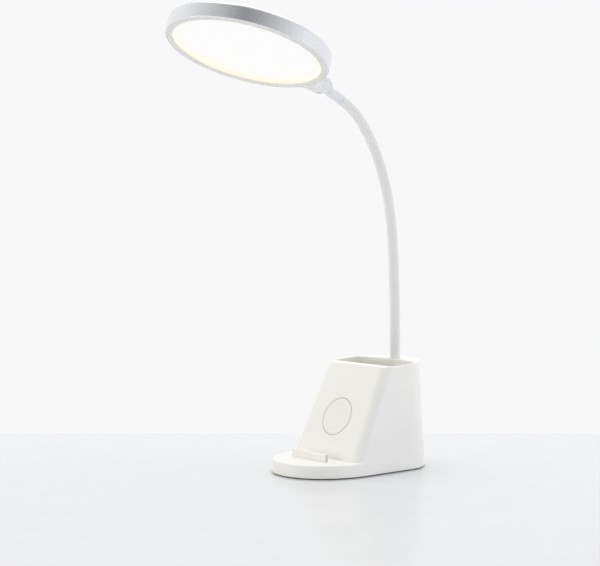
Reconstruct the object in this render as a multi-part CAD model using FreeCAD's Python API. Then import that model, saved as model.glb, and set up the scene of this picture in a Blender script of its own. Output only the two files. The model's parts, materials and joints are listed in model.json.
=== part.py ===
# Desk lamp with a phone rest, a pen cup and a goose neck. Millimetres, +Z up, front towards -Y.
# The origin is on the face that the lamp stands on, at the middle of the base.
import FreeCAD, Part
import math
import os

os.makedirs("parts", exist_ok=True)
Vec = FreeCAD.Vector
Turn = FreeCAD.Rotation

# Base body, outer form
mat_thick = 1.2
base_half_width = 50.0
base_draft = 5.6
base_height = 102.6
rim_drop = 3.6
ledge_height = 13.2
front_arc_y = -24.0
front_arc_depth = 57.0
front_side_share = 15 / 7
rear_arc_y = 36.0
rear_arc_depth = 45.0
rear_side_share = 2.0
slope_foot_y = -32.7
slope_top_y = 10.05
slope_corner = 10.5
ledge_edge = 0.9

# Base body, walls and inside
shell_wall = 2.4
land_thick = 3.0
chord_angle = 12.0
cup_side_rim = 2.4
cup_front_y = 17.6
cup_corner = 5.0
cup_rear_y = 44.3
cup_rear_depth = 10.6
cup_side_radius = 5.0
cup_floor_z = 28.0
cup_wall = 1.8

# Bottom cover, mat and ballast
cover_thick = 2.0
cover_play = 0.15
mat_inset = 5.0
ballast_thick = 6.0
ballast_inset = 5.0
boss_radius = 4.0
boss_height = 20.0
boss_play = 0.5
boss_front_inset = 20.0
boss_front_y = -44.0
boss_rear_inset = 26.0
boss_rear_y = 68.3
screw_radius = 1.2
screw_play = 0.05
screw_head_radius = 2.6
screw_head_thick = 1.1
screw_length = 9.0

# Phone fence on the ledge
fence_length = 48.0
fence_thick = 3.2
fence_height = 7.2
fence_front_y = -50.0
fence_round = 0.8
peg_radius = 1.3
peg_play = 0.05
peg_spacing = 34.0

# Round mark on the slope
mark_centre_z = 50.8
mark_radius = 18.9
mark_ring_width = 0.7
mark_depth = 0.8
mark_play = 0.05

# Wireless charger behind the slope
electrode_radius = 24.0
electrode_inner_radius = 22.0
electrode_thick = 0.3
coil_radius = 21.0
coil_inner_radius = 8.0
coil_thick = 1.6
ferrite_radius = 23.5
ferrite_thick = 1.0
carrier_size = 56.0
carrier_corner = 5.0
carrier_thick = 2.0
carrier_post_offset = 23.5
carrier_post_radius = 2.8
carrier_window = 9.0
small_screw_radius = 0.9
small_screw_head_radius = 1.9
small_screw_head_thick = 1.0

# Main board and power inlet
board_half_width = 29.0
board_front_y = 8.0
board_rear_y = 62.0
board_tongue_half_width = 12.0
board_tongue_y = 75.0
board_thick = 1.6
board_z = 13.0
standoff_radius = 3.0
standoff_inset = 4.0
standoff_play = 0.6
chip_size = 10.0
chip_thick = 1.5
choke_size = 8.0
choke_thick = 4.0
capacitor_radius = 3.2
capacitor_height = 7.0
inlet_width = 9.0
inlet_height = 3.3
inlet_wall = 0.35
inlet_depth = 7.4
inlet_sink = 0.4
inlet_tongue_width = 6.6
inlet_tongue_height = 0.7
inlet_play = 0.2

# Goose neck
neck_foot_y = 60.7
neck_radius = 5.0
sleeve_bore = 3.5
core_radius = 3.4
core_bore = 1.5
neck_link_length = 34.0
neck_turn_angles = [1.0, 1.0, 1.5, 4.5, 9.0, 9.5, 14.0, 23.0]
ball_gap = 0.3
seat_angle = 56.0
neck_bit_angle = 6.0
post_play = 0.1
neck_boss_radius = 5.2
neck_boss_depth = 34.0
neck_washer_thick = 0.8
neck_clip_thick = 1.0
neck_clip_radius = 4.6
neck_washer_play = 0.2
neck_groove_depth = 0.7
post_tail = 3.0
lead_plug_size = 6.0
lead_plug_height = 5.0

# Ferrule and knuckle
ferrule_gap = 0.2
knuckle_reach = 25.0
knuckle_radius = 6.75
knuckle_half_width = 6.6
lug_radius = 6.3
lug_half_width = 2.6
lug_clear = 0.7
spigot_radius = 2.0
spigot_length = 8.0
spigot_play = 0.05
washer_thick = 0.5
washer_play = 0.05
washer_radius = 5.2
pin_radius = 1.6
pin_play = 0.05
pin_cap_radius = 4.6
pin_cap_thick = 1.1
pin_cap_play = 0.08
head_rise_angle = 19.8
head_roll_angle = 3.0

# Lamp head
head_gap = 17.5
head_radius = 75.4
head_thick = 15.0
head_face_drop = 7.9
head_wall = 1.7
head_back_thick = 1.6
head_back_round = 2.4
head_back_steps = 3
head_face_edge = 0.6
bezel_width = 5.15
bezel_thick = 1.6
bezel_wall = 1.4
bezel_play = 0.15
recess_depth = 6.5
diffuser_thick = 1.5
guide_thick = 2.5
guide_play = 1.45
led_strip_thick = 0.5
led_count = 48
led_width = 2.8
led_depth = 0.9
led_play = 0.1
reflector_thick = 0.4
plate_thick = 1.2
foam_inset = 11.55
foam_width = 8.0
plate_screw_inset = 28.55
plate_screws = 4
head_boss_radius = 3.0
bracket_half_width = 14.5
bracket_screw_spacing = 13.0
bracket_screw_length = 5.0
flare_share = 0.28
flare_depth_share = 0.6

# One overrun for every cut, and the length under which two points are one
over = 1.0
tiny = 0.001

body_low = mat_thick
slope_run = slope_top_y - slope_foot_y
slope_rise = base_height - ledge_height
slope_length = math.hypot(slope_run, slope_rise)
slope_normal = Vec(0, -slope_rise, slope_run) / slope_length
slope_up = Vec(0, slope_run, slope_rise) / slope_length
draft = base_draft / (base_height - body_low)
rear_top_y = rear_arc_y + rear_arc_depth - base_draft
cover_top = body_low + cover_thick
board_top = board_z + board_thick
neck_count = len(neck_turn_angles)
head_reach = head_radius + head_gap


def export(name, shape):
    solids = shape.Solids
    if len(solids) == 1:
        solids[0].exportStep("parts/" + name + ".step")
    else:
        Part.makeCompound(solids).exportStep("parts/" + name + ".step")


def mix(low, high, share):
    return low + (high - low) * share


def cylinder(radius, start, along, length):
    return Part.makeCylinder(radius, length, start, along)


def ring(outer, inner, start, along, length):
    return cylinder(outer, start, along, length).cut(cylinder(inner, start, along, length))


def line(x1, y1, x2, y2):
    return Part.makeLine(Vec(x1, y1, 0), Vec(x2, y2, 0))


def inset_at(z):
    """How far the drafted walls have moved in at a height."""
    return draft * (z - body_low)


def slope_y_at(z):
    return slope_foot_y + (z - ledge_height) * slope_run / slope_rise


def rim_z_at(y):
    """The rim rises from the front of the body to its rear."""
    return base_height - rim_drop * (rear_top_y - y) / (rear_top_y - slope_top_y)


def half_oval(half, start_y, depth, side_radius, first):
    """Three arcs that meet smoothly and close one end of an oval, counter-clockwise from an angle:
    0 for the rear end and 180 for the front one. An arc is its centre, radius and two angles."""
    end_radius = (half ** 2 + depth ** 2 - 2 * half * side_radius) / (2 * (depth - side_radius))
    way = 1 if first == 0 else -1
    x = way * (half - side_radius)
    rise = (end_radius - depth) / (end_radius - side_radius)
    run = (half - side_radius) / (end_radius - side_radius)
    turn = math.degrees(math.atan2(rise, run))
    end_y = start_y + way * (depth - end_radius)
    return [
        (x, start_y, side_radius, first, first + turn),
        (0, end_y, end_radius, first + turn, first + 180 - turn),
        (-x, start_y, side_radius, first + 180 - turn, first + 180),
    ]


def on_arc(arc, angle, inset, z):
    x, y, radius = arc[:3]
    turn = math.radians(angle)
    return Vec(x + (radius - inset) * math.cos(turn), y + (radius - inset) * math.sin(turn), z)


def straight_after(arcs, place, inset, z):
    """The two ends of the straight line between an arc of an outline and the next one."""
    following = arcs[(place + 1) % len(arcs)]
    return on_arc(arcs[place], arcs[place][4], inset, z), on_arc(following, following[3], inset, z)


def outline_face(arcs, inset, z):
    """A level face inside an outline of arcs, which straight lines join."""
    edges = []
    for place, arc in enumerate(arcs):
        x, y, radius, first, last = arc
        edges.append(Part.makeCircle(radius - inset, Vec(x, y, z), Vec(0, 0, 1), first, last))
        start, end = straight_after(arcs, place, inset, z)
        if (end - start).Length > tiny:
            edges.append(Part.makeLine(start, end))
    return Part.Face(Part.Wire(edges))


def tapered(arcs, low, high):
    """A solid between two levels of an outline, each given as its inset and height. Its walls are
    cones and cylinders over the arcs, and planes between them."""
    faces = [outline_face(arcs, *low), outline_face(arcs, *high)]
    for place, arc in enumerate(arcs):
        x, y, _, first, last = arc
        rise = Part.makeLine(on_arc(arc, first, *low), on_arc(arc, first, *high))
        faces.append(rise.revolve(Vec(x, y, 0), Vec(0, 0, 1), last - first))
        start, end = straight_after(arcs, place, *low)
        if (end - start).Length > tiny:
            rise = Part.makeLine(start, on_arc(arc, last, *high))
            faces.append(rise.extrude(end - start))
    return sewn(faces)


def sewn(faces):
    shell = Part.makeShell(faces)
    shell.sewShape()
    return Part.makeSolid(shell)


def chord_points(arcs, inset, z):
    """The corners of an outline that has short chords in place of its arcs."""
    points = []
    for arc in arcs:
        first, last = arc[3:]
        count = math.ceil((last - first) / chord_angle)
        for i in range(count + 1):
            point = on_arc(arc, mix(first, last, i / count), inset, z)
            if not points or (point - points[-1]).Length > tiny:
                points.append(point)
    return points


def polygon_face(points):
    return Part.Face(Part.makePolygon(points + points[:1]))


def faceted(arcs, low, high):
    """A solid like the tapered one, with flat facets in place of the cones."""
    lows = chord_points(arcs, *low)
    highs = chord_points(arcs, *high)
    faces = [polygon_face(lows), polygon_face(highs)]
    for place, corner in enumerate(lows):
        after = (place + 1) % len(lows)
        faces.append(polygon_face([corner, lows[after], highs[after], highs[place]]))
    return sewn(faces)


def footprint(front_y):
    """The outline of the body at its foot, with its front end starting at front_y."""
    half = base_half_width
    rear_radius = half + (rear_arc_depth - half) * rear_side_share
    front_radius = half + (front_arc_depth - half) * front_side_share
    rear = half_oval(half, rear_arc_y, rear_arc_depth, rear_radius, 0)
    return rear + half_oval(half, front_y, front_arc_depth, front_radius, 180)


def body_block(front_y, wall, low_z, high_z):
    """The drafted body between two heights, less a wall. Inside a wall it is faceted."""
    form = faceted if wall > 0 else tapered
    return form(footprint(front_y), (wall + inset_at(low_z), low_z), (wall + inset_at(high_z), high_z))


def side_prism(points):
    """A prism across the whole body from an outline of y and z places."""
    half = base_half_width + over
    return polygon_face([Vec(-half, y, z) for y, z in points]).extrude(Vec(2 * half, 0, 0))


def above_rim(lower):
    """Everything above a plane that lies the given length below the rim."""
    front_y = slope_foot_y - 2 * base_half_width - front_arc_depth
    rear_y = rear_top_y + base_half_width
    high = base_height * 2
    return side_prism([(front_y, rim_z_at(front_y) - lower), (rear_y, rim_z_at(rear_y) - lower),
                       (rear_y, high), (front_y, high)])


def before_slope(wall):
    """Everything in front of the slope's plane, which is moved back by a wall."""
    shift = wall * slope_length / slope_rise
    front_y = slope_foot_y - 2 * base_half_width - front_arc_depth
    low = body_low - over
    high = base_height + 2 * over
    return side_prism([(slope_y_at(low) + shift, low), (slope_y_at(high) + shift, high),
                       (front_y, high), (front_y, low)])


def tower(wall, low_z, lower):
    """The body behind the slope, less a wall, from a height to a given length below the rim."""
    block = body_block(slope_foot_y - base_half_width, wall, low_z, base_height + over)
    block = block.cut(before_slope(wall))
    plane = slope_point(0, 0, -wall)
    corners = [
        edge for edge in block.Edges
        if all(abs((v.Point - plane).dot(slope_normal)) < tiny for v in edge.Vertexes)
        and edge.Vertexes[0].X * edge.Vertexes[-1].X > 0
    ]
    return block.makeFillet(slope_corner - wall, corners).cut(above_rim(lower))


def edges_on(shape, test):
    return [edge for edge in shape.Edges if all(test(v.Point) for v in edge.Vertexes)]


def body_form():
    """The outer form: the ledge and, on it, the tower with its sloped front and its rim."""
    shoulder = ledge_height - ledge_edge
    ledge = body_block(front_arc_y, 0, body_low, shoulder)
    inset = inset_at(shoulder)
    edge = tapered(footprint(front_arc_y), (inset, shoulder), (inset + ledge_edge, ledge_height))
    return ledge.fuse(edge).fuse(tower(0, shoulder, 0)).removeSplitter()


def cup_block(wall, low_z):
    """The upright block of the pen cup, grown by a wall, from a height to above the rim."""
    half = base_half_width - base_draft - cup_side_rim
    y = cup_front_y + cup_corner
    arcs = half_oval(half, cup_rear_y, cup_rear_depth, cup_side_radius, 0)
    arcs.append((cup_corner - half, y, cup_corner, 180, 270))
    arcs.append((half - cup_corner, y, cup_corner, 270, 360))
    return tapered(arcs, (-wall, low_z), (-wall, base_height + over))


def boss_places():
    front_x = base_half_width - boss_front_inset
    rear_x = base_half_width - boss_rear_inset
    return [
        (-front_x, boss_front_y),
        (front_x, boss_front_y),
        (-rear_x, boss_rear_y),
        (rear_x, boss_rear_y),
    ]


def slope_point(right, up, out):
    """A point given on the slope, from the centre of the round mark."""
    centre = Vec(0, slope_y_at(mark_centre_z), mark_centre_z)
    return centre + Vec(right, 0, 0) + slope_up * up + slope_normal * out


def carrier_places():
    at = carrier_post_offset
    return [(-at, -at), (at, -at), (-at, at), (at, at)]


carrier_out = -(shell_wall + electrode_thick + coil_thick + ferrite_thick)


def slot(half_x, half_z, y, depth):
    """An upright stadium-shaped block that runs along Y, centred on the inlet's height."""
    z = board_top + inlet_height / 2
    middle = half_x - half_z
    block = Part.makeBox(2 * middle, depth, 2 * half_z, Vec(-middle, y, z - half_z))
    for side in (-1, 1):
        block = block.fuse(cylinder(half_z, Vec(side * middle, y, z), Vec(0, 1, 0), depth))
    return block.removeSplitter()


def rear_wall_y(z):
    return rear_arc_y + rear_arc_depth - inset_at(z)


def base_shell():
    outer = body_form()
    roof = ledge_height - shell_wall
    shell = outer.cut(body_block(front_arc_y, shell_wall, body_low - over, roof))
    shell = shell.cut(tower(shell_wall, roof - over, land_thick))
    shell = shell.fuse(cup_block(cup_wall, cup_floor_z - cup_wall).cut(above_rim(land_thick / 2)))
    foot = Vec(0, neck_foot_y, rim_z_at(neck_foot_y) - neck_boss_depth)
    boss = cylinder(neck_boss_radius, foot, Vec(0, 0, 1), neck_boss_depth - land_thick / 2)
    shell = shell.fuse(boss)
    for x, y in boss_places():
        post = cylinder(boss_radius, Vec(x, y, cover_top), Vec(0, 0, 1), boss_height)
        shell = shell.fuse(post.common(outer))
    for right, up in carrier_places():
        start = slope_point(right, up, -shell_wall / 2)
        shell = shell.fuse(cylinder(carrier_post_radius, start, slope_normal * -1,
                                    -carrier_out - shell_wall / 2))
    shell = shell.cut(cup_block(0, cup_floor_z))
    bore = core_radius + post_play
    bore_start = foot - Vec(0, 0, over)
    shell = shell.cut(cylinder(bore, bore_start, Vec(0, 0, 1), neck_boss_depth + 2 * over))
    hole = screw_radius + screw_play
    for x, y in boss_places():
        shell = shell.cut(cylinder(hole, Vec(x, y, cover_top - over), Vec(0, 0, 1), screw_length + over))
    for right, up in carrier_places():
        start = slope_point(right, up, carrier_out - over)
        shell = shell.cut(cylinder(small_screw_radius + screw_play, start, slope_normal,
                                   over + small_screw_depth()))
    pocket = slope_point(0, 0, -mark_depth)
    shell = shell.cut(cylinder(mark_radius + mark_play, pocket, slope_normal, mark_depth + over))
    for side in (-1, 1):
        x = side * peg_spacing / 2
        y = fence_front_y + fence_thick / 2
        start = Vec(x, y, ledge_height - shell_wall - over)
        shell = shell.cut(cylinder(peg_radius + peg_play, start, Vec(0, 0, 1), shell_wall + 2 * over))
    y = rear_wall_y(board_top) - inlet_depth
    mouth = slot(inlet_width / 2 + inlet_play, inlet_height / 2 + inlet_play, y, 2 * inlet_depth)
    shell = shell.cut(mouth)
    return shell.removeSplitter()


def small_screw_depth():
    """How far the small screws go into their posts."""
    return -carrier_out - shell_wall


def bottom_cover():
    inset = shell_wall + cover_play
    plate = body_block(front_arc_y, inset, body_low, cover_top)
    for x, y in boss_places():
        plate = plate.cut(cylinder(screw_radius + screw_play, Vec(x, y, body_low - over), Vec(0, 0, 1),
                                   cover_thick + 2 * over))
        plate = plate.cut(cylinder(screw_head_radius + screw_play, Vec(x, y, body_low - over), Vec(0, 0, 1),
                                   screw_head_thick + over))
    for x, y in standoff_places():
        post = cylinder(standoff_radius, Vec(x, y, cover_top), Vec(0, 0, 1), board_z - cover_top)
        hole = cylinder(small_screw_radius + screw_play, Vec(x, y, cover_top), Vec(0, 0, 1),
                        board_z - cover_top)
        plate = plate.fuse(post.cut(hole))
    return plate.removeSplitter()


def standoff_places():
    x = board_half_width - standoff_inset
    front = board_front_y + standoff_inset
    rear = board_rear_y - standoff_inset
    return [(-x, front), (x, front), (-x, rear), (x, rear)]


def foot_mat():
    return tapered(footprint(front_arc_y), (mat_inset, 0), (mat_inset, mat_thick))


def ballast_plate():
    inset = shell_wall + ballast_inset
    plate = tapered(footprint(front_arc_y), (inset, cover_top), (inset, cover_top + ballast_thick))
    for x, y in boss_places():
        plate = plate.cut(cylinder(boss_radius + boss_play, Vec(x, y, cover_top - over), Vec(0, 0, 1),
                                   ballast_thick + 2 * over))
    for x, y in standoff_places():
        plate = plate.cut(cylinder(standoff_radius + standoff_play, Vec(x, y, cover_top - over), Vec(0, 0, 1),
                                   ballast_thick + 2 * over))
    return plate


def pan_screw(start, along, radius, length, pan_radius, pan_thick):
    """A screw whose head lies below start and whose shank runs along the given way."""
    shank = cylinder(radius, start, along, length)
    head = cylinder(pan_radius, start - along * pan_thick, along, pan_thick)
    return shank.fuse(head).removeSplitter()


def cover_screws():
    return Part.makeCompound([
        pan_screw(Vec(x, y, body_low + screw_head_thick), Vec(0, 0, 1), screw_radius,
                  screw_length - screw_head_thick, screw_head_radius, screw_head_thick)
        for x, y in boss_places()
    ])


def phone_fence():
    low = Vec(-fence_length / 2, fence_front_y, ledge_height)
    bar = Part.makeBox(fence_length, fence_thick, fence_height, low)
    top = ledge_height + fence_height
    bar = bar.makeFillet(fence_round, edges_on(bar, lambda p: p.z > top - fence_round / 2))
    for side in (-1, 1):
        x = side * peg_spacing / 2
        y = fence_front_y + fence_thick / 2
        bar = bar.fuse(cylinder(peg_radius, Vec(x, y, ledge_height - shell_wall), Vec(0, 0, 1), shell_wall))
    return bar.removeSplitter()


def mark_ring():
    start = slope_point(0, 0, -mark_depth)
    return ring(mark_radius, mark_radius - mark_ring_width, start, slope_normal, mark_depth)


def mark_disc():
    start = slope_point(0, 0, -mark_depth)
    return cylinder(mark_radius - mark_ring_width - mark_play, start, slope_normal, mark_depth)


def touch_electrode():
    start = slope_point(0, 0, -shell_wall - electrode_thick)
    return ring(electrode_radius, electrode_inner_radius, start, slope_normal, electrode_thick)


def charge_coil():
    start = slope_point(0, 0, -shell_wall - electrode_thick - coil_thick)
    return ring(coil_radius, coil_inner_radius, start, slope_normal, coil_thick)


def ferrite_sheet():
    return cylinder(ferrite_radius, slope_point(0, 0, carrier_out), slope_normal, ferrite_thick)


def coil_carrier():
    half = carrier_size / 2
    plate = Part.makeBox(carrier_size, carrier_size, carrier_thick, Vec(-half, -half, -carrier_thick))
    plate = plate.makeFillet(carrier_corner, [e for e in plate.Edges if abs(e.tangentAt(0).z) > 0.5])
    plate = plate.cut(cylinder(carrier_window, Vec(0, 0, -carrier_thick - over), Vec(0, 0, 1),
                               carrier_thick + 2 * over))
    for x, y in carrier_places():
        plate = plate.cut(cylinder(small_screw_radius + screw_play, Vec(x, y, -carrier_thick - over),
                                   Vec(0, 0, 1), carrier_thick + 2 * over))
    lean = math.degrees(math.atan2(slope_rise, slope_run))
    plate.Placement = FreeCAD.Placement(slope_point(0, 0, carrier_out), Turn(Vec(1, 0, 0), lean))
    return plate


def carrier_screws():
    return Part.makeCompound([
        pan_screw(slope_point(right, up, carrier_out - carrier_thick), slope_normal, small_screw_radius,
                  carrier_thick + small_screw_depth() / 2, small_screw_head_radius, small_screw_head_thick)
        for right, up in carrier_places()
    ])


def main_board():
    half = board_half_width
    board = Part.makeBox(2 * half, board_rear_y - board_front_y, board_thick,
                         Vec(-half, board_front_y, board_z))
    narrow = board_tongue_half_width
    tongue = Part.makeBox(2 * narrow, board_tongue_y - board_front_y, board_thick,
                          Vec(-narrow, board_front_y, board_z))
    board = board.fuse(tongue).removeSplitter()
    for x, y in standoff_places():
        board = board.cut(cylinder(small_screw_radius + screw_play, Vec(x, y, board_z - over), Vec(0, 0, 1),
                                   board_thick + 2 * over))
    return board


def board_screws():
    return Part.makeCompound([
        pan_screw(Vec(x, y, board_top), Vec(0, 0, -1), small_screw_radius,
                  (board_top - cover_top) / 2, small_screw_head_radius, small_screw_head_thick)
        for x, y in standoff_places()
    ])


def board_parts():
    """The charger chip, the lamp driver, a choke and two capacitors, on the board's upper side."""
    middle = (board_front_y + board_rear_y) / 2
    side = board_half_width / 2
    charger = Part.makeBox(chip_size, chip_size, chip_thick, Vec(-side - chip_size / 2, middle, board_top))
    driver = Part.makeBox(chip_size, chip_size, chip_thick, Vec(side - chip_size / 2, middle, board_top))
    choke = Part.makeBox(choke_size, choke_size, choke_thick,
                         Vec(-choke_size / 2, middle - 2 * choke_size, board_top))
    caps = [
        cylinder(capacitor_radius, Vec(place * side, middle - chip_size, board_top), Vec(0, 0, 1),
                 capacitor_height)
        for place in (-1, 1)
    ]
    return Part.makeCompound([charger, driver, choke] + caps)


def power_inlet():
    """A flat oval socket on the board, with a contact tongue and its mouth just inside the rear wall."""
    mouth_y = rear_wall_y(board_top) - inlet_sink
    half_x = inlet_width / 2
    half_z = inlet_height / 2
    start_y = mouth_y - inlet_depth
    body = slot(half_x, half_z, start_y, inlet_depth)
    body = body.cut(slot(half_x - inlet_wall, half_z - inlet_wall, start_y + inlet_wall * 2, inlet_depth))
    tongue = Part.makeBox(inlet_tongue_width, inlet_depth - 2 * inlet_wall, inlet_tongue_height,
                          Vec(-inlet_tongue_width / 2, start_y + inlet_wall,
                              board_top + half_z - inlet_tongue_height / 2))
    return body.fuse(tongue).removeSplitter()


def neck_stations():
    """Where each segment of the neck starts, how far it leans to the front there, and the neck's end."""
    y = neck_foot_y
    z = rim_z_at(neck_foot_y)
    lean = 0
    stations = [(Vec(0, y, z), lean)]
    for turn in neck_turn_angles:
        bend = math.radians(turn)
        start = math.radians(lean)
        radius = neck_link_length / bend
        y += radius * (math.cos(start + bend) - math.cos(start))
        z += radius * (math.sin(start + bend) - math.sin(start))
        lean += turn
        stations.append((Vec(0, y, z), lean))
    return stations


stations = neck_stations()
neck_end, neck_lean = stations[-1]


def heading(lean):
    return Vec(0, -math.sin(math.radians(lean)), math.cos(math.radians(lean)))


def neck_bits(segment):
    """The points of the short straight runs that follow one segment's arc."""
    start, lean = stations[segment]
    turn = neck_turn_angles[segment]
    count = max(1, round(turn / neck_bit_angle))
    radius = neck_link_length / math.radians(turn)
    points = []
    for i in range(count + 1):
        a = math.radians(lean)
        b = math.radians(lean + turn * i / count)
        points.append(start + Vec(0, math.cos(b) - math.cos(a), math.sin(b) - math.sin(a)) * radius)
    return points


def lathe(profile, start, along):
    """A ring turned from a profile of radii and heights about an axis."""
    side = Vec(1, 0, 0)
    points = [start + side * radius + along * height for radius, height in profile]
    return polygon_face(points).revolve(start, along, 360)


def ball_depth(radius):
    """How far behind its centre the ball at a segment's foot reaches, at a radius."""
    return math.sqrt(neck_radius ** 2 - radius ** 2)


def seat_depth(radius):
    """How far before the next ball's centre a segment ends, at a radius, clear of that ball."""
    middle = math.radians(seat_angle)
    return (neck_radius + ball_gap - radius * math.sin(middle)) / math.cos(middle)


def neck_tube(outer, inner, segment, foot, top, before=None):
    """A tube along one segment in short straight runs. Its ends lie at heights for the two radii, or
    its foot meets a tube that runs the way given as before."""
    points = neck_bits(segment)
    last = len(points) - 2
    tube = None
    for i in range(last + 1):
        run = points[i + 1] - points[i]
        length = run.Length
        along = run / length
        low = foot if before is None else (-outer, -outer)
        high = top if i == last else (outer, outer)
        profile = [(outer, low[0]), (inner, low[1]), (inner, length + high[1]), (outer, length + high[0])]
        bit = lathe(profile, points[i], along)
        if before is not None:
            bit = bit.cut(half_space(points[i], along + before, -1))
        if i < last:
            bit = bit.cut(half_space(points[i + 1], along + (points[i + 2] - points[i + 1]).normalize(), 1))
        elif segment == neck_count - 1:
            bit = bit.cut(half_space(neck_end, heading(neck_lean), 1))
        tube = bit if tube is None else tube.fuse(bit)
        before = along
    return tube


def half_space(point, normal, side):
    """A block on one side of the plane through a point."""
    size = neck_link_length
    block = Part.makeBox(2 * size, 2 * size, size, Vec(-size, -size, 0 if side > 0 else -size))
    block.Placement = FreeCAD.Placement(point, Turn(Vec(0, 0, 1), normal))
    return block


def neck_sleeve(segment):
    """A soft sleeve with the ball at its foot and the seat for the next ball at its end."""
    outer = neck_radius
    inner = sleeve_bore
    foot = (0, -ball_depth(inner)) if segment > 0 else (-outer, -outer)
    top = (-seat_depth(outer), -seat_depth(inner)) if segment < neck_count - 1 else (outer, outer)
    piece = neck_tube(outer, inner, segment, foot, top)
    if segment == 0:
        piece = piece.common(above_rim(0))
    return piece.removeSplitter()


def neck_core(segment):
    """The metal hose in one sleeve. It ends short of the next ball."""
    outer = core_radius
    up = Vec(0, 0, 1)
    low = -ball_depth(sleeve_bore)
    high = -neck_radius - ball_gap if segment < neck_count - 1 else outer
    piece = neck_tube(outer, core_bore, segment, (low, low), (high, high), up if segment == 0 else None)
    if segment == 0:
        tail = neck_boss_depth + neck_washer_thick + neck_clip_thick + post_tail
        foot, bend = neck_bits(0)[:2]
        post = ring(outer, core_bore, foot - up * tail, up, tail + outer)
        post = post.cut(half_space(foot, (bend - foot).normalize() + up, 1))
        piece = piece.fuse(post).cut(clip_groove())
    if segment == neck_count - 1:
        start = neck_end - heading(neck_lean) * (spigot_length + over)
        piece = piece.cut(cylinder(spigot_radius + spigot_play, start, heading(neck_lean),
                                   spigot_length + 2 * over))
    return piece.removeSplitter()


def below_boss(depth):
    return stations[0][0] - Vec(0, 0, neck_boss_depth + depth)


def clip_groove():
    return ring(core_radius + over, core_radius - neck_groove_depth,
                below_boss(neck_washer_thick + neck_clip_thick), Vec(0, 0, 1), neck_clip_thick)


def neck_washer():
    """A washer under the boss, with a flat side next to the cup's rear wall."""
    washer = ring(neck_boss_radius, core_radius + post_play, below_boss(neck_washer_thick), Vec(0, 0, 1),
                  neck_washer_thick)
    wall_y = cup_rear_y + cup_rear_depth + cup_wall + neck_washer_play
    low = below_boss(neck_washer_thick + over)
    flat = Part.makeBox(2 * neck_boss_radius, neck_boss_radius, neck_washer_thick + 2 * over,
                        Vec(-neck_boss_radius, wall_y - neck_boss_radius, low.z))
    return washer.cut(flat)


def neck_clip():
    """A spring clip with an open side, in the groove of the post."""
    start = below_boss(neck_washer_thick + neck_clip_thick)
    clip = ring(neck_clip_radius, core_radius - neck_groove_depth + post_play, start, Vec(0, 0, 1),
                neck_clip_thick)
    mouth = core_radius - neck_groove_depth
    gap = Part.makeBox(2 * mouth, 2 * neck_clip_radius, neck_clip_thick + 2 * over,
                       start + Vec(-mouth, -2 * neck_clip_radius, -over))
    return clip.cut(gap)


def lamp_lead():
    """The lead that rises from its plug on the board into the hollow post of the neck."""
    top = below_boss(neck_washer_thick + neck_clip_thick)
    radius = core_bore - post_play * 2
    foot = Vec(0, neck_foot_y, board_top)
    plug = Part.makeBox(lead_plug_size, lead_plug_size, lead_plug_height,
                        foot - Vec(lead_plug_size / 2, lead_plug_size / 2, 0))
    return plug.fuse(cylinder(radius, foot, Vec(0, 0, 1), top.z - board_top)).removeSplitter()


def in_end_frame(shape):
    """Moves a shape from the frame of the neck's end, with +Z along the neck, to its place."""
    turn = Turn(Vec(1, 0, 0), neck_lean).multiply(Turn(Vec(0, 0, 1), head_roll_angle))
    shape.Placement = FreeCAD.Placement(neck_end, turn).multiply(shape.Placement)
    return shape


def in_head_frame(shape):
    """Moves a shape from the head's frame to its place. There the knuckle is the origin and +Z is up
    from the lit face, and the head lies towards -Y."""
    roll = Turn(heading(neck_lean), head_roll_angle)
    turn = roll.multiply(Turn(Vec(1, 0, 0), -head_rise_angle))
    shape.Placement = FreeCAD.Placement(knuckle, turn).multiply(shape.Placement)
    return shape


knuckle = neck_end + heading(neck_lean) * knuckle_reach


def neck_ferrule():
    """A collar at the neck's end that narrows to the flat lug of the knuckle."""
    shoulder = knuckle_reach - knuckle_radius - lug_clear
    up = Vec(0, 0, 1)
    collar = cylinder(neck_radius, Vec(0, 0, ferrule_gap), up, shoulder - ferrule_gap)
    collar = collar.makeChamfer(lug_clear, edges_on(collar, lambda p: p.z > shoulder - lug_clear))
    stem = cylinder(neck_radius, Vec(0, 0, shoulder / 2), up, knuckle_reach - shoulder / 2)
    slab = Part.makeBox(2 * lug_half_width, 2 * knuckle_radius, knuckle_reach,
                        Vec(-lug_half_width, -knuckle_radius, shoulder / 2))
    centre = Vec(-lug_half_width, 0, knuckle_reach)
    lug = cylinder(lug_radius, centre, Vec(1, 0, 0), 2 * lug_half_width)
    spigot = cylinder(spigot_radius, Vec(0, 0, ferrule_gap - spigot_length), up, spigot_length)
    piece = collar.fuse(stem.common(slab)).fuse(lug).fuse(spigot)
    piece = piece.cut(cylinder(pin_radius + pin_play, centre - Vec(over, 0, 0), Vec(1, 0, 0),
                               2 * lug_half_width + 2 * over))
    lead_way = spigot_radius / 2
    piece = piece.cut(cylinder(lead_way, Vec(0, 0, -spigot_length), up, spigot_length + shoulder / 2))
    return in_end_frame(piece.removeSplitter())


def friction_washers():
    centre = lug_half_width + washer_play
    washers = []
    for x in (-centre - washer_thick, centre):
        washer = ring(washer_radius, pin_radius + pin_play, Vec(x, 0, knuckle_reach), Vec(1, 0, 0),
                      washer_thick)
        washers.append(in_end_frame(washer))
    return Part.makeCompound(washers)


def pin_half_length():
    return knuckle_half_width - pin_cap_thick


def tilt_pin():
    half = pin_half_length()
    return in_head_frame(cylinder(pin_radius, Vec(-half, 0, 0), Vec(1, 0, 0), 2 * half))


def pin_caps():
    half = pin_half_length()
    caps = []
    for x in (-knuckle_half_width, half):
        caps.append(in_head_frame(cylinder(pin_cap_radius, Vec(x, 0, 0), Vec(1, 0, 0), pin_cap_thick)))
    return Part.makeCompound(caps)


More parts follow.
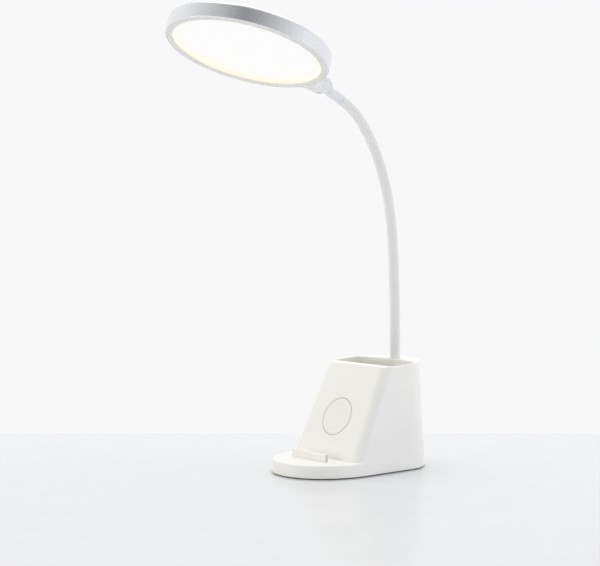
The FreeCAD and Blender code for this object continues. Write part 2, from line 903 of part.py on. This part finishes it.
def head_bracket():
    """A fork round the knuckle that flares into a saddle on the side of the head."""
    edge = head_reach - head_radius
    half_high = knuckle_radius
    flare_x = bracket_half_width
    neck_x = knuckle_half_width
    waist_y = -half_high / 2
    foot_y = -edge - saddle_depth()
    turn_x = mix(neck_x, flare_x, flare_share)
    turn_y = mix(waist_y, foot_y, flare_depth_share)
    plan = [
        line(-neck_x, half_high, neck_x, half_high),
        line(neck_x, half_high, neck_x, waist_y),
        Part.Arc(Vec(neck_x, waist_y, 0), Vec(turn_x, turn_y, 0), Vec(flare_x, foot_y, 0)).toShape(),
        line(flare_x, foot_y, -flare_x, foot_y),
        Part.Arc(Vec(-flare_x, foot_y, 0), Vec(-turn_x, turn_y, 0), Vec(-neck_x, waist_y, 0)).toShape(),
        line(-neck_x, waist_y, -neck_x, half_high),
    ]
    body = Part.Face(Part.Wire(plan)).extrude(Vec(0, 0, 2 * half_high))
    body.translate(Vec(0, 0, -half_high))
    long = edge + 2 * saddle_depth()
    side = Part.makeBox(2 * flare_x, long, 2 * half_high, Vec(-flare_x, -long, -half_high))
    side = side.fuse(cylinder(half_high, Vec(-flare_x, 0, 0), Vec(1, 0, 0), 2 * flare_x)).removeSplitter()
    body = body.common(side)
    drum = cylinder(head_radius, Vec(0, -head_reach, -head_thick), Vec(0, 0, 1), 2 * head_thick)
    body = body.cut(drum)
    slot_half = lug_half_width + washer_thick + 2 * washer_play
    slot_radius = knuckle_radius + lug_clear
    gap = cylinder(lug_radius + lug_clear, Vec(-slot_half, 0, 0), Vec(1, 0, 0), 2 * slot_half)
    gap = gap.fuse(Part.makeBox(2 * slot_half, slot_radius + over, 2 * slot_radius,
                                Vec(-slot_half, 0, -slot_radius)))
    body = body.cut(gap)
    body = body.cut(cylinder(pin_radius + pin_play, Vec(-neck_x - over, 0, 0), Vec(1, 0, 0),
                             2 * neck_x + 2 * over))
    half = pin_half_length()
    for x in (-knuckle_half_width - over, half):
        body = body.cut(cylinder(pin_cap_radius + pin_cap_play, Vec(x, 0, 0), Vec(1, 0, 0),
                                 pin_cap_thick + over))
    for side in (-1, 1):
        x = side * bracket_screw_spacing / 2
        body = body.cut(cylinder(small_screw_radius + screw_play, bracket_screw_start(x), Vec(0, 1, 0),
                                 bracket_screw_length))
    return in_head_frame(body.removeSplitter())


def saddle_depth():
    """How far the saddle reaches round the head at its outer ends."""
    return head_radius - math.sqrt(head_radius ** 2 - bracket_half_width ** 2)


def bracket_screw_start(x):
    """Where a screw's head meets the band's inner side, between the bezel's face and the diffuser."""
    far = abs(x) + small_screw_head_radius
    height = (bezel_thick + recess_depth) / 2 - head_face_drop
    return Vec(x, -head_reach + math.sqrt(inner_radius() ** 2 - far ** 2), height)


def bracket_screws():
    screws = []
    for side in (-1, 1):
        start = bracket_screw_start(side * bracket_screw_spacing / 2)
        screws.append(in_head_frame(pan_screw(start, Vec(0, 1, 0), small_screw_radius, bracket_screw_length,
                                              small_screw_head_radius, small_screw_head_thick)))
    return Part.makeCompound(screws)


def head_disc(radius, low, height):
    """A disc on the head's axis. Its lower face lies the given length above the head's lit side."""
    return cylinder(radius, Vec(0, -head_reach, low - head_face_drop), Vec(0, 0, 1), height)


def head_ring(outer, inner, low, height):
    return head_disc(outer, low, height).cut(head_disc(inner, low, height))


def head_levels():
    """The heights of the layers above the lit side, from the diffuser to the foam."""
    diffuser = recess_depth
    guide = diffuser + diffuser_thick
    reflector = guide + guide_thick
    plate = reflector + reflector_thick
    foam = plate + plate_thick
    return diffuser, guide, reflector, plate, foam


def inner_radius():
    return head_radius - head_wall


def stack_radius():
    """The radius of the flat pieces that fill the band."""
    return inner_radius() - bezel_play


def guide_radius():
    return stack_radius() - led_strip_thick - led_depth - led_play - guide_play


def screw_places():
    radius = stack_radius() - plate_screw_inset
    places = []
    for i in range(plate_screws):
        angle = 2 * math.pi * i / plate_screws
        places.append((radius * math.cos(angle), radius * math.sin(angle) - head_reach))
    return places


def head_shell():
    """The round cover: a flat back and the band round the side, with posts for the plate's screws."""
    inner = inner_radius()
    under = head_thick - head_back_thick
    profile = [(inner, 0), (head_radius - head_face_edge, 0), (head_radius, head_face_edge)]
    for i in range(head_back_steps + 1):
        angle = math.pi / 2 * i / head_back_steps
        profile.append((head_radius - head_back_round * (1 - math.cos(angle)),
                        head_thick - head_back_round * (1 - math.sin(angle))))
    profile += [(0, head_thick), (0, under), (inner, under)]
    shell = lathe(profile, Vec(0, -head_reach, -head_face_drop), Vec(0, 0, 1))
    plate_top = head_levels()[4] - head_face_drop
    inner_back = head_thick - head_back_thick - head_face_drop
    for x, y in screw_places():
        shell = shell.fuse(cylinder(head_boss_radius, Vec(x, y, plate_top), Vec(0, 0, 1),
                                    inner_back - plate_top + head_back_thick / 2))
    for x, y in screw_places():
        shell = shell.cut(cylinder(small_screw_radius + screw_play, Vec(x, y, plate_top - over), Vec(0, 0, 1),
                                   inner_back - plate_top + over))
    for side in (-1, 1):
        start = bracket_screw_start(side * bracket_screw_spacing / 2) - Vec(0, over, 0)
        shell = shell.cut(cylinder(small_screw_radius + screw_play, start, Vec(0, 1, 0),
                                   head_wall + 3 * over))
    return in_head_frame(shell.removeSplitter())


def bezel_ring():
    """The flat ring on the lit side and the wall that rises from it to the diffuser."""
    inner = stack_radius() - bezel_width
    face = head_ring(stack_radius(), inner, 0, bezel_thick)
    wall = head_ring(inner + bezel_wall, inner, 0, recess_depth)
    return in_head_frame(face.fuse(wall).removeSplitter())


def diffuser():
    level = head_levels()[0]
    return in_head_frame(head_disc(stack_radius(), level, diffuser_thick))


def light_guide():
    return in_head_frame(head_disc(guide_radius(), head_levels()[1], guide_thick))


def led_strip():
    outer = stack_radius()
    return in_head_frame(head_ring(outer, outer - led_strip_thick, head_levels()[1], guide_thick))


def led_chips():
    outer = stack_radius() - led_strip_thick
    low = head_levels()[1] - head_face_drop + led_play
    chips = []
    for i in range(led_count):
        chip = Part.makeBox(led_depth, led_width, guide_thick - 2 * led_play,
                            Vec(outer - led_depth - led_play, -led_width / 2, low))
        chip.rotate(Vec(0, 0, 0), Vec(0, 0, 1), 360 * i / led_count)
        chip.translate(Vec(0, -head_reach, 0))
        chips.append(in_head_frame(chip))
    return Part.makeCompound(chips)


def reflector_sheet():
    return in_head_frame(head_disc(guide_radius(), head_levels()[2], reflector_thick))


def heat_plate():
    plate = head_disc(stack_radius(), head_levels()[3], plate_thick)
    low = head_levels()[3] - head_face_drop
    for x, y in screw_places():
        plate = plate.cut(cylinder(small_screw_radius + screw_play, Vec(x, y, low - over), Vec(0, 0, 1),
                                   plate_thick + 2 * over))
    return in_head_frame(plate)


def plate_screws_group():
    """Countersunk screws, flush with the plate, that hold it to the posts of the cover."""
    low = head_levels()[3] - head_face_drop
    return Part.makeCompound([
        in_head_frame(cylinder(small_screw_radius, Vec(x, y, low), Vec(0, 0, 1),
                               plate_thick + foam_thick() / 2))
        for x, y in screw_places()
    ])


def foam_thick():
    return head_thick - head_back_thick - head_levels()[4]


def foam_ring():
    outer = stack_radius() - foam_inset
    return in_head_frame(head_ring(outer, outer - foam_width, head_levels()[4], foam_thick()))


export("base_shell", base_shell())
export("bottom_cover", bottom_cover())
export("foot_mat", foot_mat())
export("ballast_plate", ballast_plate())
export("cover_screws", cover_screws())
export("phone_fence", phone_fence())
export("mark_ring", mark_ring())
export("mark_disc", mark_disc())
export("touch_electrode", touch_electrode())
export("charge_coil", charge_coil())
export("ferrite_sheet", ferrite_sheet())
export("coil_carrier", coil_carrier())
export("carrier_screws", carrier_screws())
export("main_board", main_board())
export("board_parts", board_parts())
export("board_screws", board_screws())
export("power_inlet", power_inlet())
export("lamp_lead", lamp_lead())
export("neck_washer", neck_washer())
export("neck_clip", neck_clip())
for segment in range(neck_count):
    export("neck_sleeve_%d" % segment, neck_sleeve(segment))
    export("neck_core_%d" % segment, neck_core(segment))
export("neck_ferrule", neck_ferrule())
export("friction_washers", friction_washers())
export("tilt_pin", tilt_pin())
export("pin_caps", pin_caps())
export("head_bracket", head_bracket())
export("bracket_screws", bracket_screws())
export("head_shell", head_shell())
export("bezel_ring", bezel_ring())
export("diffuser", diffuser())
export("light_guide", light_guide())
export("led_strip", led_strip())
export("led_chips", led_chips())
export("reflector_sheet", reflector_sheet())
export("heat_plate", heat_plate())
export("plate_screws", plate_screws_group())
export("foam_ring", foam_ring())
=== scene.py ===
import json
import math
import bpy
from mathutils import Matrix, Vector


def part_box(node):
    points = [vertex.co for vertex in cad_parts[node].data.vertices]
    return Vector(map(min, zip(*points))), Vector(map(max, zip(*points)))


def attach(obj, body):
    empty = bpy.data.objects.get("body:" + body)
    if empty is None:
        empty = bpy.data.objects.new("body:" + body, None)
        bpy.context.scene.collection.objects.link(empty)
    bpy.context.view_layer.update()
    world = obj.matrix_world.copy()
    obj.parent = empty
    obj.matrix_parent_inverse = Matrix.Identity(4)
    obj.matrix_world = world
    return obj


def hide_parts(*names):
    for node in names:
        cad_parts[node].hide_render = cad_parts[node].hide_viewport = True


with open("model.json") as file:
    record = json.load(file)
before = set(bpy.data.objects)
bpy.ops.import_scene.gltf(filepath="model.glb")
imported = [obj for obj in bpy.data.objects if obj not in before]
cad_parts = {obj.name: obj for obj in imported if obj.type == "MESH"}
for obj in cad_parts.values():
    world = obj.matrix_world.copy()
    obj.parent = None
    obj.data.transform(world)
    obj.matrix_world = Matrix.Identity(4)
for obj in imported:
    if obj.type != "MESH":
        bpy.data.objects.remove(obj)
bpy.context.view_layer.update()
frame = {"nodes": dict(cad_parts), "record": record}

MM = 0.001

# The goose neck, as in the solid model
neck_foot = Vector((0, 60.7 * MM, 101.79 * MM))
neck_radius = 5.0 * MM
neck_segment = 34.0 * MM
neck_turns = [1.0, 1.0, 1.5, 4.5, 9.0, 9.5, 14.0, 23.0]

# The neck's skin: its lowest link starts below the foot, and a link stops short of the next joint
skin_sunk = 4.0 * MM
joint_gap = 0.75 * MM
ball_fade = 3.0 * MM
ball_angles = range(-60, 1, 6)
ring_step = 2.0 * MM
ring_sides = 40

# The round mark, the darker grey at the fence's ends, and the head
mark_centre = Vector((0, -14.72 * MM, 50.8 * MM))
mark_pitch = 3.1 * MM
mark_line = 0.5 * MM
end_grey_start = 23.90 * MM
end_grey_full = 23.97 * MM
diffuser_radius = 68.4 * MM
diffuser_plain = 0.88
recess_depth = 6.5 * MM
recess_edge = 0.1 * MM
head_axis = Vector((-0.052, 0.3381, 0.9397))

# The photograph's view
camera_turn = math.radians(50.45)
camera_fall = math.radians(2.70)
camera_distance = 1440.0 * MM
camera_right = -46.59 * MM
camera_up = 177.1 * MM
camera_lens = 90.0
camera_sensor = 36.0
view_side = Vector((math.cos(camera_turn), math.sin(camera_turn), 0))
view_ahead = Vector((-math.sin(camera_turn), math.cos(camera_turn), 0))
up = Vector((0, 0, 1))

# The table top, measured from the middle of the lamp along the view
table_far = 222.0 * MM
table_near = 3.0
table_half = 4.0

# The room's light: where it is dark, how it brightens from there, and how much of it fills shade
dark_rise = math.radians(40)
dark_end = -0.05
dark_power = 0.45
dark_level = 0.05
fill_low = 0.2
fill_high = 1.0
fill_blue = 0.99

# The lamps: metres right of, beyond and above the aim, width, height, watts and colour
lamp_aim = Vector((0, 0, 0.2))
lamps = {
    "softbox_left": (-1.35, -0.6, -0.05, 1.5, 0.6, 7, (1.0, 0.99, 0.96)),
    "softbox_right": (1.25, -0.8, -0.05, 1.3, 0.6, 7, (0.82, 0.9, 1.0)),
    "softbox_top": (0.0, 0.3, 1.6, 2.0, 2.0, 20, (1, 1, 1)),
}

# The surfaces' slow change of colour, uneven gloss and fine grain
colour_scale = 22.0
gloss_scale = 140.0
grain_strength = 0.35


def srgb(red, green, blue):
    """A colour given as it looks on screen, from 0 to 255, as linear light."""
    out = []
    for value in (red, green, blue):
        share = value / 255.0
        out.append(share / 12.92 if share <= 0.04045 else ((share + 0.055) / 1.055) ** 2.4)
    return (out[0], out[1], out[2], 1.0)


wall_colour = srgb(248, 248, 249)
# The painted glow of the disc's light on the bezel's recess wall: cream at the rim, white at the
# disc. The white also warms the diffuser's own edge.
painted_glow_rim = srgb(254, 245, 220)
glow_disc = srgb(254, 252, 244)


class Tree:
    """Adds and links the nodes of a material or of the world."""

    def __init__(self, tree):
        self.tree = tree

    def add(self, kind, **values):
        node = self.tree.nodes.new(kind)
        for key, value in values.items():
            setattr(node, key, value)
        return node

    def link(self, start, end):
        self.tree.links.new(start, end)

    def feed(self, socket, value):
        """Links an output to the socket, or sets the socket to a plain value."""
        if isinstance(value, bpy.types.NodeSocket):
            self.link(value, socket)
        else:
            socket.default_value = value

    def calc(self, operation, first, second):
        node = self.add("ShaderNodeMath", operation=operation)
        self.link(first, node.inputs[0])
        self.feed(node.inputs[1], second)
        return node.outputs["Value"]

    def absolute(self, value):
        node = self.add("ShaderNodeMath", operation="ABSOLUTE")
        self.link(value, node.inputs[0])
        return node.outputs["Value"]

    def vector(self, operation, first, second, output):
        node = self.add("ShaderNodeVectorMath", operation=operation)
        node.inputs[1].default_value = second
        self.link(first, node.inputs[0])
        return node.outputs[output]

    def length(self, value):
        node = self.add("ShaderNodeVectorMath", operation="LENGTH")
        self.link(value, node.inputs[0])
        return node.outputs["Value"]

    def range(self, value, low, high, new_low, new_high):
        node = self.add("ShaderNodeMapRange")
        node.inputs["From Min"].default_value = low
        node.inputs["From Max"].default_value = high
        node.inputs["To Min"].default_value = new_low
        node.inputs["To Max"].default_value = new_high
        self.link(value, node.inputs["Value"])
        return node.outputs["Result"]

    def mix(self, share, first, second):
        node = self.add("ShaderNodeMix", data_type="RGBA")
        self.feed(node.inputs[6], first)
        self.feed(node.inputs[7], second)
        self.link(share, node.inputs[0])
        return node.outputs[2]


class Surface(Tree):
    """A material with one Principled shader."""

    def __init__(self, name):
        self.material = bpy.data.materials.new(name)
        self.material.use_nodes = True
        super().__init__(self.material.node_tree)
        self.inputs = self.tree.nodes["Principled BSDF"].inputs

    def set(self, values):
        for name, value in values.items():
            self.feed(self.inputs[name], value)

    def place(self):
        return self.add("ShaderNodeTexCoord").outputs["Object"]

    def noise(self, scale, detail=2.0, rough=0.5, stretch=None):
        node = self.add("ShaderNodeTexNoise")
        node.inputs["Scale"].default_value = scale
        node.inputs["Detail"].default_value = detail
        node.inputs["Roughness"].default_value = rough
        place = self.place()
        if stretch:
            mapping = self.add("ShaderNodeMapping")
            mapping.inputs["Scale"].default_value = stretch
            self.link(place, mapping.inputs["Vector"])
            place = mapping.outputs["Vector"]
        self.link(place, node.inputs["Vector"])
        return node.outputs["Fac"]

    def bump(self, height, strength, depth):
        node = self.add("ShaderNodeBump")
        node.inputs["Strength"].default_value = strength
        node.inputs["Distance"].default_value = depth
        self.link(height, node.inputs["Height"])
        self.link(node.outputs["Normal"], self.inputs["Normal"])

    def tint(self, share, colour):
        """Mixes another colour over the base colour."""
        under = self.inputs["Base Color"].links[0].from_socket
        self.link(self.mix(share, under, colour), self.inputs["Base Color"])


def moulded(name, low, high, rough, grain, depth, spread=0.05, metal=0.0, stretch=None):
    """A surface with slow changes of colour, a fine grain and an uneven gloss.
    The grain's depth is in millimetres."""
    n = Surface(name)
    slow = n.range(n.noise(colour_scale, 3.0, 0.55), 0.3, 0.7, 0.0, 1.0)
    smear = n.noise(gloss_scale, 4.0, 0.6, stretch)
    n.set({
        "Base Color": n.mix(slow, low, high),
        "Roughness": n.range(smear, 0.25, 0.75, rough - spread, rough + spread),
        "Metallic": metal,
    })
    n.bump(n.noise(grain, 2.0, 0.5, stretch), grain_strength, depth * MM)
    return n


def plain(name, low, high, *values):
    """A moulded surface between two colours as they look on screen."""
    return moulded(name, srgb(*low), srgb(*high), *values).material


def steel(name, colour, rough, stretch=None):
    """A metal, a little lighter in places."""
    low = srgb(*colour)
    high = tuple(min(1.0, value * 1.12) for value in low)
    return moulded(name, low, high, rough, 1500.0, 0.01, 0.08, 1.0, stretch).material


def rubber(name, *colour):
    """A dull surface with a coarse grain."""
    return plain(name, colour, [value + 8 for value in colour], 0.8, 1400.0, 0.1, 0.06)


def body_plastic():
    """The body's warm white plastic, which lets a little light through."""
    n = moulded("warm_white_plastic", srgb(239, 237, 232), srgb(241, 239, 235), 0.40, 2600.0, 0.01)
    n.set({
        "Specular IOR Level": 0.4,
        "Subsurface Weight": 0.3,
        "Subsurface Radius": (1.0, 0.9, 0.75),
        "Subsurface Scale": 3.0 * MM,
    })
    return n.material


def sleeve_silicone():
    n = moulded("sleeve_silicone", srgb(227, 226, 224), srgb(230, 229, 227), 0.5, 1800.0, 0.003)
    n.set({"Specular IOR Level": 0.35, "Sheen Weight": 0.08, "Sheen Roughness": 0.5})
    return n.material


def head_paint():
    """A pale silver paint with a fine metallic fleck."""
    n = moulded("head_silver_paint", srgb(231, 232, 235), srgb(233, 234, 237), 0.26, 3200.0,
                0.002, 0.03)
    n.set({"Metallic": n.range(n.noise(1500.0, 1.0, 0.5), 0.3, 0.7, 0.74, 0.78)})
    return n.material


def bezel_paint_with_painted_glow(centre):
    """A matt ring, with a painted glow of the disc's light on the wall of its recess.
    The painted glow is cream at the wall's rim and white at the disc."""
    n = moulded("bezel_paint_with_painted_glow", srgb(221, 219, 215), srgb(225, 223, 219), 0.42, 3200.0,
                0.005, 0.04, 0.15)
    offset = n.vector("SUBTRACT", n.place(), centre, "Vector")
    along = n.vector("DOT_PRODUCT", offset, head_axis, "Value")
    radius = n.length(n.vector("CROSS_PRODUCT", offset, head_axis, "Vector"))
    inside = n.range(radius, diffuser_radius + recess_edge, diffuser_radius + 3 * recess_edge,
                     1.0, 0.0)
    depth = n.range(along, recess_edge - recess_depth, 6 * recess_edge - recess_depth, 0.0, 1.0)
    # Painted light: the recess wall glows with the disc's light, and its own colour is darkened
    # where the painted glow lies.
    painted_glow_share = n.calc("MULTIPLY", inside, depth)
    n.tint(painted_glow_share, srgb(60, 58, 52))
    rise = n.range(along, -recess_depth, 0.0, 0.0, 1.0)
    n.set({
        "Emission Strength": n.range(painted_glow_share, 0.0, 1.0, 0.0, 0.95),
        "Emission Color": n.mix(rise, painted_glow_rim, glow_disc),
    })
    return n.material


def fence_plastic():
    """A warm white plastic, a darker grey on the two end faces."""
    n = moulded("fence_plastic", srgb(237, 235, 231), srgb(240, 238, 234), 0.40, 2600.0, 0.01)
    parts = n.add("ShaderNodeSeparateXYZ")
    n.link(n.place(), parts.inputs[0])
    side = n.absolute(parts.outputs["X"])
    # The two end faces are tinted a darker grey.
    n.tint(n.range(side, end_grey_start, end_grey_full, 0.0, 1.0), srgb(206, 202, 200))
    return n.material


def mark_print():
    """The disc inside the grey ring, with a faint dot and two faint rings."""
    n = moulded("mark_disc_plastic", srgb(237, 235, 231), srgb(240, 238, 234), 0.36, 2600.0, 0.03)
    radius = n.vector("DISTANCE", n.place(), mark_centre, "Value")
    line = n.range(n.calc("PINGPONG", radius, mark_pitch), 0.0, mark_line, 1.0, 0.0)
    n.tint(n.range(line, 0.0, 1.0, 0.0, 0.3), srgb(196, 194, 190))
    return n.material


def diffuser_light(centre):
    """The opal disc, lit from its rim, a little warmer towards the edge."""
    n = Surface("diffuser_opal")
    away = n.vector("DISTANCE", n.place(), centre, "Value")
    edge = n.range(away, diffuser_radius * diffuser_plain, diffuser_radius, 0.0, 1.0)
    grain = n.range(n.noise(900.0, 2.0, 0.5), 0.3, 0.7, 0.0, 0.1)
    n.set({
        "Emission Color": n.mix(n.calc("MAXIMUM", edge, grain), srgb(253, 253, 253), glow_disc),
        "Emission Strength": 0.94,
        "Specular IOR Level": 0.1,
        "Base Color": srgb(28, 28, 28),
        "Roughness": n.range(n.noise(400.0), 0.3, 0.7, 0.45, 0.6),
    })
    return n.material


def slot_materials(disc_centre):
    """A material for each slot of the record."""
    return {
        "body_plastic": body_plastic(),
        "cover_plastic": plain("cover_grey_plastic", (186, 186, 184), (193, 193, 191), 0.6,
                               900.0, 0.06),
        "mat_rubber": rubber("mat_rubber", 62, 62, 63),
        "ballast_iron": plain("ballast_iron", (96, 96, 98), (112, 111, 110), 0.6, 700.0, 0.2,
                              0.1, 0.9),
        "screw_steel": steel("zinc_steel", (196, 196, 198), 0.34),
        "mark_grey": plain("mark_grey_gloss", (176, 173, 168), (184, 181, 176), 0.4, 2600.0, 0.02),
        "copper": steel("copper_wire", (196, 128, 84), 0.35),
        "ferrite": plain("ferrite_sheet", (58, 58, 60), (66, 66, 68), 0.7, 900.0, 0.05),
        "board_green": plain("board_green", (26, 92, 52), (32, 102, 60), 0.4, 900.0, 0.03),
        "chip_black": plain("chip_black", (40, 40, 42), (48, 48, 50), 0.5, 1200.0, 0.04),
        "inlet_steel": steel("inlet_steel", (190, 190, 192), 0.3, (1, 12, 1)),
        "lead_rubber": rubber("lead_jacket", 214, 213, 210),
        "sleeve_rubber": sleeve_silicone(),
        "core_steel": steel("wound_core", (158, 158, 160), 0.4),
        "ferrule_white": plain("ferrule_plastic", (225, 226, 227), (228, 229, 230), 0.36,
                               3000.0, 0.004, 0.04),
        "diffuser_white": diffuser_light(disc_centre),
        "guide_clear": plain("guide_clear", (238, 242, 244), (243, 246, 247), 0.08, 500.0, 0.01,
                             0.03),
        "led_yellow": plain("led_yellow", (240, 214, 110), (246, 222, 124), 0.4, 1500.0, 0.03),
        "sheet_white": plain("reflector_film", (244, 244, 244), (248, 248, 248), 0.5, 900.0, 0.02),
        "plate_aluminium": steel("plate_aluminium", (214, 214, 216), 0.35, (1, 20, 1)),
        "foam_grey": rubber("foam_grey", 120, 120, 122),
    }


def neck_point(length):
    """The place and the lean of the neck's centreline, that far along it."""
    place = neck_foot.copy()
    lean = 0.0
    if length <= 0:
        return place + Vector((0, 0, length)), lean
    for turn in neck_turns:
        run = min(length, neck_segment)
        radius = neck_segment / math.radians(turn)
        bend = run / radius
        place.y += radius * (math.cos(lean + bend) - math.cos(lean))
        place.z += radius * (math.sin(lean + bend) - math.sin(lean))
        lean += bend
        length -= run
        if length <= 0:
            break
    return place, lean


def link_rings(start, end, ball):
    """Lengths along one link and the skin's radius there. A ball at its foot fills the joint."""
    rings = []
    if ball:
        for degrees in ball_angles:
            angle = math.radians(degrees)
            rings.append((start + neck_radius * math.sin(angle), neck_radius * math.cos(angle)))
        rings.append((start + joint_gap, math.sqrt(neck_radius ** 2 - joint_gap ** 2)))
        start += ball_fade
    count = max(2, round((end - start) / ring_step))
    return rings + [(start + (end - start) * i / count, neck_radius) for i in range(count + 1)]


def sheet(name, points, faces, material):
    """A mesh object from its points and faces."""
    mesh = bpy.data.meshes.new(name)
    mesh.from_pydata([tuple(point) for point in points], [], faces)
    mesh.materials.append(material)
    piece = bpy.data.objects.new(name, mesh)
    bpy.context.scene.collection.objects.link(piece)
    return piece


def skin_link(name, rings, material):
    """A stretch of the neck's skin, through the given rings."""
    points = []
    faces = []
    for length, radius in rings:
        place, lean = neck_point(length)
        across = Vector((0, math.cos(lean), math.sin(lean)))
        for j in range(ring_sides):
            angle = 2 * math.pi * j / ring_sides
            reach = Vector((1, 0, 0)) * math.cos(angle) + across * math.sin(angle)
            points.append(place + reach * radius)
    for i in range(len(rings) - 1):
        low, high = i * ring_sides, (i + 1) * ring_sides
        for j in range(ring_sides):
            k = (j + 1) % ring_sides
            faces.append((low + j, low + k, high + k, high + j))
    piece = sheet(name, points, faces, material)
    piece.data.polygons.foreach_set("use_smooth", [True] * len(faces))
    return piece


def neck_skin(material):
    """The smooth sleeve, one rigid link per body, with room at each joint for its limits."""
    last = len(neck_turns) - 1
    for k in range(last + 1):
        start = neck_segment * k if k else -skin_sunk
        end = neck_segment * (k + 1) - (joint_gap if k < last else 0)
        piece = skin_link("neck_skin_%d" % k, link_rings(start, end, k > 0), material)
        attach(piece, "neck_%d" % k if k else "base")
        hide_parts("neck_sleeve_%d" % k)


def stage():
    """A pale, faintly glossy table top. Its far edge lies a little behind the lamp."""
    n = moulded("table_white", srgb(216, 217, 219), srgb(219, 220, 222), 0.16, 60.0, 0.001, 0.02)
    n.set({"Specular IOR Level": 0.3})
    far = view_ahead * table_far
    near = view_ahead * -table_near
    half = view_side * table_half
    corners = [near - half, near + half, far + half, far - half]
    table = sheet("table_top", corners, [(0, 1, 2, 3)], n.material)


def softbox(name, right, beyond, above, width, height, power, colour):
    """A flat lamp that faces the aim and isn't seen by the camera."""
    place = lamp_aim + view_side * right + view_ahead * beyond + up * above
    data = bpy.data.lights.new(name, "AREA")
    data.shape = "RECTANGLE"
    data.size = width
    data.size_y = height
    data.energy = power
    data.color = colour
    lamp = bpy.data.objects.new(name, data)
    lamp.location = place
    lamp.rotation_euler = (lamp_aim - place).to_track_quat("-Z", "Y").to_euler()
    lamp.visible_camera = False
    bpy.context.scene.collection.objects.link(lamp)


def room():
    """The camera sees a plain wall. Other rays see a room that is dark above and behind the
    camera and brightens away from there, more so where it is mirrored."""
    world = bpy.data.worlds.new("studio")
    bpy.context.scene.world = world
    world.use_nodes = True
    n = Tree(world.node_tree)
    n.tree.nodes.clear()
    dark = (up * math.sin(dark_rise) - view_ahead * math.cos(dark_rise)).normalized()
    place = n.add("ShaderNodeTexCoord").outputs["Generated"]
    away = n.range(n.vector("DOT_PRODUCT", place, dark, "Value"), 1.0, dark_end, 0.0, 1.0)
    share = n.calc("POWER", away, dark_power)
    ray = n.add("ShaderNodeLightPath").outputs
    mirrored = n.mix(share, (dark_level, dark_level, dark_level, 1), wall_colour)
    fill = n.mix(share, (fill_low, fill_low, fill_low, 1),
                 (fill_high, fill_high, fill_high * fill_blue, 1))
    light = n.mix(ray["Is Glossy Ray"], fill, mirrored)
    sky = n.add("ShaderNodeBackground")
    n.link(n.mix(ray["Is Camera Ray"], light, wall_colour), sky.inputs["Color"])
    n.link(sky.outputs[0], n.add("ShaderNodeOutputWorld").inputs[0])


def camera():
    """The photograph's view: from the front right, a little above."""
    turn, fall = camera_turn, camera_fall
    ahead = Vector((-math.sin(turn) * math.cos(fall), math.cos(turn) * math.cos(fall),
                    -math.sin(fall)))
    upright = view_side.cross(ahead)
    place = view_side * camera_right + upright * camera_up - ahead * camera_distance
    data = bpy.data.cameras.new("photo_view")
    data.lens = camera_lens
    data.sensor_width = camera_sensor
    data.sensor_fit = "HORIZONTAL"
    view = bpy.data.objects.new("photo_view", data)
    turned = Matrix((view_side, upright, -ahead)).transposed().to_4x4()
    view.matrix_world = Matrix.Translation(place) @ turned
    bpy.context.scene.collection.objects.link(view)
    bpy.context.scene.camera = view


low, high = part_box("diffuser")
disc_centre = (low + high) / 2
materials = slot_materials(disc_centre)
own = {
    "head_shell": head_paint(),
    "head_bracket": materials["ferrule_white"],
    "pin_caps": materials["ferrule_white"],
    "bezel_ring": bezel_paint_with_painted_glow(disc_centre),
    "mark_disc": mark_print(),
    "phone_fence": fence_plastic(),
}
slots = {entry["node"]: entry["material_slot"] for entry in frame["record"]["subparts"]}
for name, node in frame["nodes"].items():
    node.data.materials.clear()
    node.data.materials.append(own.get(name) or materials[slots[name]])
neck_skin(materials["sleeve_rubber"])
stage()
for name, values in lamps.items():
    softbox(name, *values)
room()
camera()
bpy.context.scene.view_settings.view_transform = "Standard"
